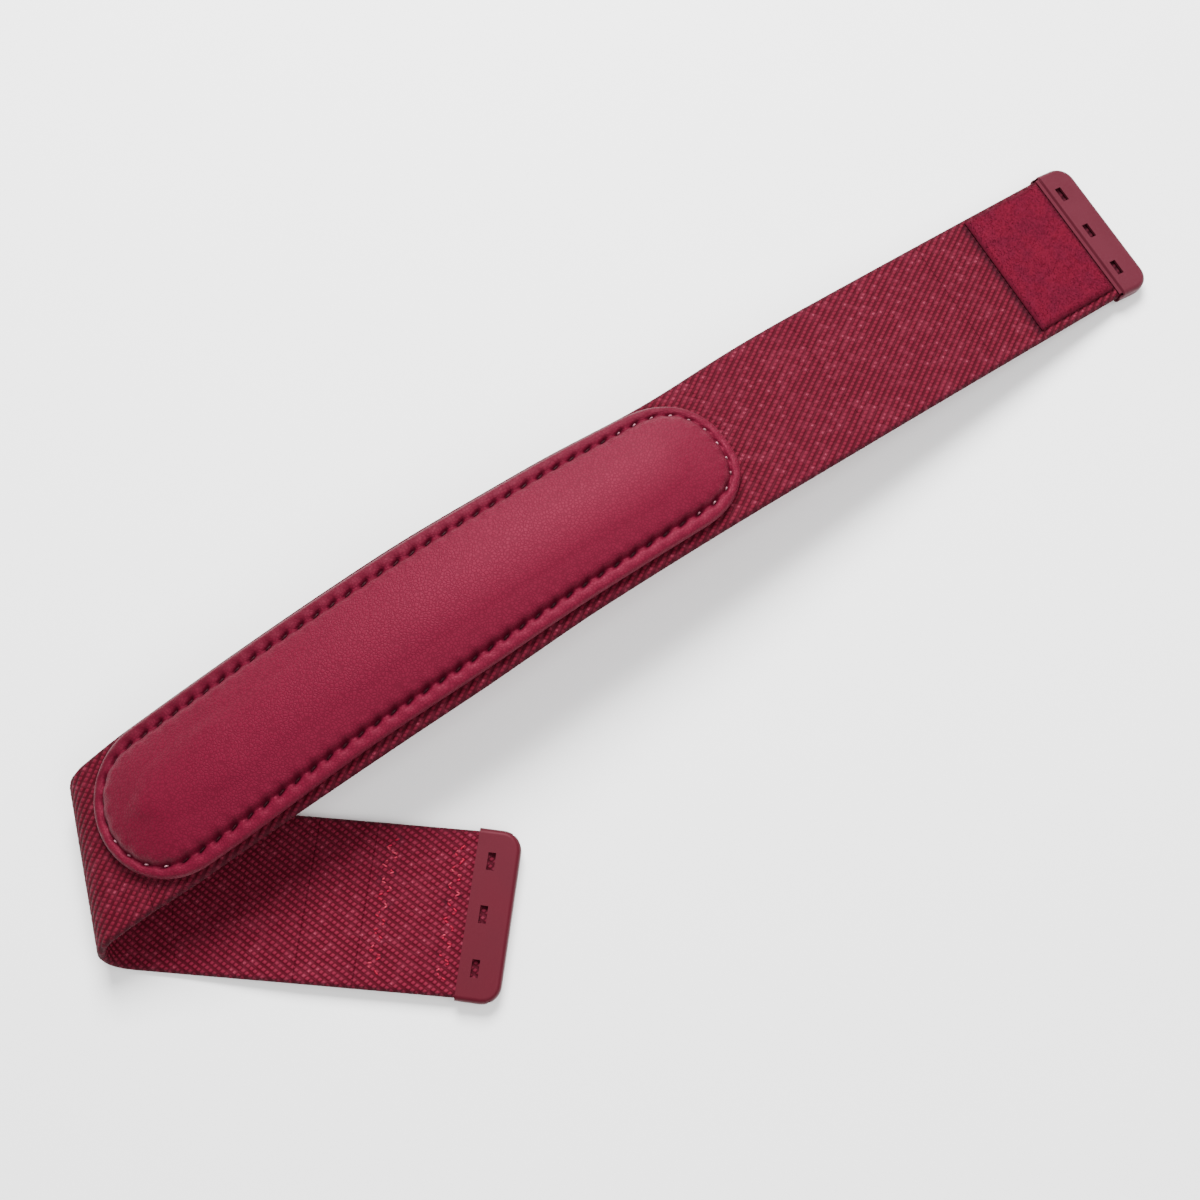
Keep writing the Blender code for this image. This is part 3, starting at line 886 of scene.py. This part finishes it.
def sewRow(name, legs, radius, lift, dip, material, outward=1, shine=None, lay=layOnBand):
    # legs are pairs of band places; a stitch stands up by lift and its ends dip into the cloth
    pattern, patternFaces = stitchPattern(radius)
    spots, faces = [], []
    x = pattern[:, 0]
    taper = 1 - 0.45 * (2 * x - 1) ** 4
    arch = lift * (1 - (2 * x - 1) ** 2) - dip * (2 * x - 1) ** 6
    for start, end in legs:
        start, end = np.array(start), np.array(end)
        way = (end - start)[:2]
        side = np.array((-way[1], way[0])) / np.linalg.norm(way)
        leg = start + x[:, None] * (end - start)
        leg[:, :2] += (pattern[:, 1] * taper)[:, None] * side
        leg[:, 2] += outward * (pattern[:, 2] * taper + arch)
        faces += [tuple(i + len(spots) * len(pattern) for i in face) for face in patternFaces]
        spots.append(leg)
    row = meshPiece(name, lay(np.concatenate(spots)), faces)
    setAttribute(row, "shine", np.repeat(shine or [0] * len(legs), len(pattern)))
    makeActive(row)
    faceOutward()
    row.data.shade_smooth()
    dress(row, material)
    return row


def seamLegs(height, fill, slant):
    # each leg runs from one needle hole to the next, a little slanting
    legs = []
    for number in range(stitchCount):
        ends = []
        for side in (-1, 1):
            u, way = aroundPad((number + side * fill / 2) / stitchCount)
            reach = pad["half"] - pad["seam"] + side * slant
            ends.append((float(u + reach * way[0]), float(reach * way[1]), height))
        legs.append(ends)
    return legs


# The pad's stitches. Those round its two ends are short and stand up more; they catch the light with a
# coat and a painted highlight mixed into their colour.
padStitch = {
    "depth": 0.52 * mm,
    "fill": 0.46,
    "slant": -0.22 * mm,
    "lift": 0.16 * mm,
    "dip": 0.3 * mm,
    "endLong": 0.42,
    "endLift": 0.3 * mm,
    "leftEnd": 0.7,
    "rightEnd": 1.1,
    "leastShine": 0.35,
    "underFill": 0.8,
    "underSlant": 0.05 * mm,
    "underLift": 0.18 * mm,
}


def makePad(thread):
    cushion = fillCushion()
    cover = padCover(cushion)
    dress(cover, leatherLook())
    spots = readSpots(cushion)
    inset = padInset(spots)
    ceiling = np.interp(inset / mm, *zip(*pad["inside"])) * mm + pad["rise"] * crownLift(inset)
    spots[:, 2] = np.minimum(spots[:, 2], pad["face"] + ceiling)
    setSpots(cushion, layOnPad(spots))
    cushion.vertex_groups.clear()
    cushion.data.shade_smooth()
    dress(cushion, foamLook())
    sewn = padStitch
    legs = seamLegs(pad["face"] + pad["groove"] - sewn["depth"], sewn["fill"], sewn["slant"])
    leftEnd = pad["left"] + sewn["leftEnd"] * pad["half"]
    rightEnd = pad["right"] - sewn["rightEnd"] * pad["half"]
    chance = np.random.default_rng(5)
    shine = []
    for leg in legs:
        u, v, _ = leg[0]
        around = (u < leftEnd and v < 0) or u > rightEnd
        bright = sewn["leastShine"] + (1 - sewn["leastShine"]) * chance.random()
        shine.append(float(around) * bright)
        if around:
            middle = (np.array(leg[0]) + leg[1]) / 2 + (0, 0, sewn["endLift"])
            leg[:] = [middle + sewn["endLong"] * (np.array(end) - middle) * (1, 1, 0) for end in leg]
    top = sewRow("padStitches", legs, pad["thread"], sewn["lift"], sewn["dip"], thread,
                 shine=shine, lay=layOnPad)
    underLegs = seamLegs(-pad["face"], sewn["underFill"], sewn["underSlant"])
    under = sewRow("padBackStitches", underLegs, pad["thread"], sewn["underLift"], sewn["dip"],
                   thread, outward=-1, lay=layOnPad)
    for piece, solid in (
        (cover, "pad_cover"), (cushion, "pad_foam"),
        (top, "pad_needle_thread"), (under, "pad_bobbin_thread"),
    ):
        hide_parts(solid)
        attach(piece, "pad_section")


# The hook patches at the band's ends
patch = {
    "wide": 27.4 * mm,
    "thick": 0.75 * mm,
    "under": 0.85 * mm,
    "rightStart": 200.5 * mm,
    "rightEnd": 220.2 * mm,
    "leftStart": -83.1 * mm,
    "leftEnd": -65.0 * mm,
    "step": 0.5 * mm,
    "pileLong": 0.3 * mm,
    "pileThick": 0.06 * mm,
    "pilePerMm": 15.0,
    "lean": 0.4 * mm,
    "aside": 0.45 * mm,
    "rim": 1.1 * mm,
    "droop": 0.62,
    "droopReach": 0.9 * mm,
    "pileDroop": 0.6,
    "pileSunk": 0.12 * mm,
}


def patchLook():
    look = Look("hookPatch", Roughness=0.95, SpecularIORLevel=0.08)
    where = look.place()
    cloud = look.noise(where, 260.0, 4.0, 0.6)
    speck = look.noise(where, 2300.0, 2.0, 0.6)
    tone = look.mix(cloud.ramp(0.36, 0.66), colour(77, 8, 26), colour(68, 8, 26))
    tone = look.mix(speck.ramp(0.35, 0.75, 0, 0.5), tone, colour(86, 14, 36))
    tone = look.mix(look.attribute("rimShade") * 0.5, tone, colour(40, 3, 14))
    look.feed("BaseColor", tone)
    look.feed("Normal", look.bump(speck, 0.06 * mm))
    return look.material


def patchBase(name, start, end, material):
    long, wide = end - start, patch["wide"]
    middle = patch["under"] + patch["thick"] / 2
    counts = (round(long / patch["step"]), round(wide / patch["step"]))
    piece = slab(name, start, end, wide, counts, patch["thick"], middle)
    spots = readSpots(piece)
    u, v, h = spots.T
    rim = np.minimum(long / 2 - np.abs(u - (start + end) / 2), wide / 2 - np.abs(v))
    droop = 1 - smooth(rim / patch["droopReach"])
    spots[:, 2] = np.where(h > middle, h - droop * patch["thick"] * patch["droop"], h)
    spots[:, 1] += patch["aside"]
    setSpots(piece, layOnBand(spots))
    setAttribute(piece, "rimShade", 1 - smooth(rim / patch["rim"]))
    piece.data.shade_smooth()
    dress(piece, material)
    return piece


def patchPile(name, start, end, seed, material):
    # short bent hairs, each leaning its own way, thick enough to hide the cloth under them
    chance = np.random.default_rng(seed)
    long, wide = end - start, patch["wide"]
    count = int(long * wide / mm**2 * patch["pilePerMm"])
    u = start + long * chance.random(count)
    v = wide * (chance.random(count) - 0.5)
    rim = np.minimum(np.minimum(u - start, end - u), wide / 2 - np.abs(v))
    droop = 1 - smooth(rim / patch["droopReach"])
    base = patch["under"] + patch["thick"] * (1 - patch["pileDroop"] * droop) - patch["pileSunk"]
    tall = patch["pileLong"] * (0.6 + 0.6 * chance.random(count))
    # the nap swirls over a few millimetres, and each hair strays a little from it
    drift = np.sin(u * 900 + 3 * np.sin(v * 700)) + np.cos(v * 1100 + 2 * np.sin(u * 500))
    lean = drift * 1.2 + chance.normal(0, 0.9, count)
    ways = np.stack([np.cos(lean), np.sin(lean)], -1) * patch["lean"] * chance.random((count, 1))
    spots, faces = [], []
    for level, (share, thick) in enumerate(((0, 1.0), (0.55, 0.8), (1.0, 0.25))):
        for corner in range(3):
            turn = lean + corner * 2 * math.pi / 3
            ring = np.stack([u, v, base + share * tall], -1)
            ring[:, :2] += ways * share**2
            ring[:, 0] += patch["pileThick"] * thick * np.cos(turn)
            ring[:, 1] += patch["pileThick"] * thick * np.sin(turn)
            spots.append(ring)
    spots = layOnBand(np.stack(spots, 1).reshape(-1, 3) + (0, patch["aside"], 0))
    one = [(0, 2, 1), (6, 7, 8)]
    for level in (0, 3):
        for corner in range(3):
            a, b = level + corner, level + (corner + 1) % 3
            one.append((a, b, b + 3, a + 3))
    for number in range(count):
        faces += [tuple(i + 9 * number for i in face) for face in one]
    piece = meshPiece(name, spots, faces)
    setAttribute(piece, "rimShade", np.repeat(1 - smooth(rim / patch["rim"]), 9))
    piece.data.shade_smooth()
    dress(piece, material)
    return piece


# Zigzag rows that hold a patch, showing on the band's other face
zigzag = {
    "wide": 24.4 * mm,
    "reach": 1.1 * mm,
    "steps": 16,
    "thread": 0.19 * mm,
    "fromEnd": 3.0 * mm,
    "shown": ((0.02, 0.4), (0.6, 0.98)),
    "sunk": (0.12 * mm, 0.22 * mm),
    "stray": 0.16 * mm,
    "shine": 0.07,
    "shineShare": 0.3,
    "lift": 0.2 * mm,
    "dip": 0.25 * mm,
}


def zigzagRows(side):
    outward = 1 if side == "right" else -1
    start, end = patch[side + "Start"], patch[side + "End"]
    inner = start if outward > 0 else end
    return inner + outward * zigzag["fromEnd"], tab[side + "Edge"] - outward * zigzag["fromEnd"]


def zigzagPoint(u, number):
    return (
        u + zigzag["reach"] * (1 if number % 2 else -1),
        zigzag["wide"] * (number / zigzag["steps"] - 0.5),
    )


def zigzagRow(name, u, seed, material):
    # each leg shows only near its two needle holes, and some bits are drawn down into the cloth
    chance = np.random.default_rng(seed)
    legs, shine = [], []
    for number in range(zigzag["steps"]):
        ends = np.array([zigzagPoint(u, i) for i in (number, number + 1)])
        for share in zigzag["shown"]:
            height = -weave["thick"] / 2 + zigzag["sunk"][0] + zigzag["sunk"][1] * chance.random()
            shift = chance.normal(0, zigzag["stray"], (2, 2))
            bit = [ends[0] + part * (ends[1] - ends[0]) for part in share] + shift
            legs.append([(*place, height) for place in bit])
            # a few bits get a faint painted highlight and a coat
            shine.append(zigzag["shine"] * float(chance.random() < zigzag["shineShare"]))
    return sewRow(name, legs, zigzag["thread"], zigzag["lift"], zigzag["dip"], material,
                  outward=-1, shine=shine)


# The moulded tabs
tab = {
    "long": 8.0 * mm,
    "wide": 31.1 * mm,
    "thick": 3.2 * mm,
    "corner": 3.6 * mm,
    "edge": 1.0 * mm,
    "pocketDeep": 6.4 * mm,
    "pocketWide": 30.5 * mm,
    "pocketTall": 2.1 * mm,
    "windowLong": 3.2 * mm,
    "windowWide": 1.4 * mm,
    "windowPitch": 9.6 * mm,
    "windowPlace": 2.9 * mm,
    "lip": 0.7 * mm,
    "lipDrop": 0.5 * mm,
    "lipStep": 0.25 * mm,
    "softEdge": 0.12 * mm,
    "rightEdge": 220.5 * mm,
    "leftEdge": -83.4 * mm,
}


def tabLook():
    look = Look("mouldedTab", SpecularIORLevel=0.22, SpecularTint=colour(255, 170, 185))
    where = look.place()
    cloud = look.noise(where, 120.0, 3.0)
    spark = look.noise(where, 6500.0, 2.0, 0.6)
    # painted light: the right tab is coloured paler than the left, though both are one moulded part
    tone = look.mix(look.attribute("rightTabPaintedLight"), colour(60, 8, 20), colour(67, 23, 33))
    tone = look.mix(cloud.ramp(0.3, 0.7, 0, 0.35), tone, colour(54, 11, 21))
    look.feed("BaseColor", look.mix(spark.ramp(0.55, 0.8, 0, 0.18), tone, colour(80, 25, 37)))
    look.feed("Roughness", 0.5 + (cloud - 0.5) * 0.16)
    look.feed("Normal", look.bump(spark, 0.02 * mm, 0.6))
    return look.material


def boxPiece(name, low, high):
    deselectAll()
    low, high = Vector(low), Vector(high)
    bpy.ops.mesh.primitive_cube_add(size=1, location=(low + high) / 2)
    piece = chosen(name)
    piece.scale = high - low
    applyPlace()
    return piece


def cutAway(piece, low, high):
    cutter = boxPiece("cutter", low, high)
    deselectAll()
    piece.select_set(True)
    bake(piece, "BOOLEAN", operation="DIFFERENCE", solver="EXACT", object=cutter)
    bpy.data.objects.remove(cutter)


def tabPattern():
    # x runs outward from the inner edge, y across and z off the band
    long, wide, thick = tab["long"], tab["wide"], tab["thick"]
    tiny = 0.01 * mm
    piece = boxPiece("tabPattern", (0, -wide / 2, -thick / 2), (long, wide / 2, thick / 2))
    pick(piece, lambda a, b: min(a.x, b.x) > long - tiny and abs(a.y - b.y) < tiny, "EDGE")
    bpy.ops.mesh.bevel(offset=tab["corner"], segments=12, affect="EDGES")
    pick(piece, lambda a, b: abs(a.z - b.z) < tiny and max(a.x, b.x) > tiny, "EDGE")
    bpy.ops.mesh.bevel(offset=tab["edge"], segments=4, affect="EDGES")
    for place in (tab["lip"], tab["lip"] + tab["lipStep"]):
        bpy.ops.mesh.select_all(action="SELECT")
        bpy.ops.mesh.bisect(plane_co=(place, 0, 0), plane_no=(1, 0, 0))
    bpy.ops.object.mode_set(mode="OBJECT")
    spots = readSpots(piece)
    onLip = (spots[:, 0] < tab["lip"] + tiny) & (spots[:, 2] > thick / 2 - tab["edge"] - tiny)
    spots[onLip, 2] -= tab["lipDrop"]
    setSpots(piece, spots)
    half = (tab["pocketWide"] / 2, tab["pocketTall"] / 2)
    cutAway(piece, (-mm, -half[0], -half[1]), (tab["pocketDeep"], half[0], half[1]))
    for number in (-1, 0, 1):
        across = number * tab["windowPitch"]
        low = (tab["windowPlace"] - tab["windowWide"] / 2, across - tab["windowLong"] / 2, -thick)
        high = (tab["windowPlace"] + tab["windowWide"] / 2, across + tab["windowLong"] / 2, thick)
        cutAway(piece, low, high)
    bake(piece, "BEVEL", width=tab["softEdge"], segments=2, limit_method="ANGLE",
         angle_limit=math.radians(50))
    return piece


def tabPlace(edge):
    outward = 1 if edge > 0 else -1
    place = bandPoint(edge)
    normal = (bandPoint(edge, 0, mm) - place).normalized()
    aside = outward * tab["wide"] / 2
    across = (bandPoint(edge, aside) - bandPoint(edge, -aside)).normalized()
    along = across.cross(normal)
    axes = Matrix((along, across, along.cross(across))).transposed()
    return Matrix.Translation(place) @ axes.to_4x4()


def makeEnds(thread):
    patchMaterial, tabMaterial = patchLook(), tabLook()
    pattern = tabPattern()
    for number, side in enumerate(("right", "left")):
        title = side.capitalize()
        start, end, edge = patch[side + "Start"], patch[side + "End"], tab[side + "Edge"]
        base = patchBase("patch" + title, start, end, patchMaterial)
        pile = patchPile("pile" + title, start, end, 11 + number, patchMaterial)
        innerRow, outerRow = zigzagRows(side)
        inner = zigzagRow("zigzagInner" + title, innerRow, 21 + number, thread)
        outer = zigzagRow("zigzagOuter" + title, outerRow, 31 + number, thread)
        mould = addObject("tab" + title, pattern.data.copy())
        mould.data.transform(tabPlace(edge))
        mould.data.shade_smooth()
        makeActive(mould)
        bpy.ops.object.shade_smooth_by_angle(angle=math.radians(40))
        bake(mould, "WEIGHTED_NORMAL", weight=60, keep_sharp=True)
        # the right tab gets the paler, painted-light colour
        setAttribute(mould, "rightTabPaintedLight", [float(side == "right")] * len(mould.data.vertices))
        dress(mould, tabMaterial)
        for piece, solids in (
            (base, ["_patch"]), (pile, []), (inner, ["_zigzag_inner"]), (outer, ["_zigzag_outer"]),
            (mould, ["_tab"]),
        ):
            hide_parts(*(side + solid for solid in solids))
            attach(piece, side + "_end")
    bpy.data.objects.remove(pattern)


# Floor, lights and camera
stageSet = {
    "elevation": math.radians(73.70),
    "azimuth": math.radians(-34.01),
    "distance": 320.3 * mm,
    "target": (-9.19 * mm, 13.77 * mm, 0.0),
    "lens": 50.0,
    "floorWide": 6,
    "floorDrop": 0.1 * mm,
    "world": 0.6,
    # place, size and energy of each lamp
    "key": ((0.16, 0.34, 0.50), 0.3, 12.9),
    "fill": ((0.05, -0.30, 0.70), 0.6, 6.2),
}


def addLight(name, place, size, energy):
    data = bpy.data.lights.new(name, "AREA")
    data.size = size
    data.energy = energy
    lamp = addObject(name, data)
    lamp.location = place
    lamp.rotation_euler = (-Vector(place)).to_track_quat("-Z", "Y").to_euler()


def makeStage():
    deselectAll()
    bpy.ops.mesh.primitive_plane_add(
        size=stageSet["floorWide"], location=(0, 0, -stageSet["floorDrop"])
    )
    floor = chosen("floor")
    look = Look("paleFloor", Roughness=0.9, SpecularIORLevel=0.1)
    grain = look.noise(look.place(), 40.0, 2.0)
    look.feed("BaseColor", look.mix(grain, (0.93, 0.93, 0.93, 1), (0.95, 0.95, 0.95, 1)))
    floor.data.materials.append(look.material)
    for name in ("key", "fill"):
        addLight(name, *stageSet[name])
    world = bpy.data.worlds.new("studio")
    bpy.context.scene.world = world
    world.use_nodes = True
    background = world.node_tree.nodes["Background"]
    background.inputs["Color"].default_value = (1.0, 1.0, 1.0, 1.0)
    background.inputs["Strength"].default_value = stageSet["world"]


def makeCamera():
    e, a = stageSet["elevation"], stageSet["azimuth"]
    back = Vector((math.sin(a) * math.cos(e), -math.cos(a) * math.cos(e), math.sin(e)))
    right = Vector((math.cos(a), math.sin(a), 0))
    up = back.cross(right)
    data = bpy.data.cameras.new("camera")
    data.lens = stageSet["lens"]
    data.sensor_width = 36.0
    data.clip_start = 0.01
    camera = addObject("camera", data)
    turned = Matrix((right, up, back)).transposed().to_4x4()
    place = Vector(stageSet["target"]) + back * stageSet["distance"]
    camera.matrix_world = Matrix.Translation(place) @ turned
    bpy.context.scene.camera = camera


makeBand()
print("stage: band woven")
makePad(threadLook("padThread", colour(30, 2, 9), colour(52, 4, 17)))
print("stage: pad sewn")
makeEnds(threadLook("zigzagThread", colour(104, 3, 27), colour(150, 14, 50)))
print("stage: patches and tabs on")
makeStage()
makeCamera()
print("stage: lit")
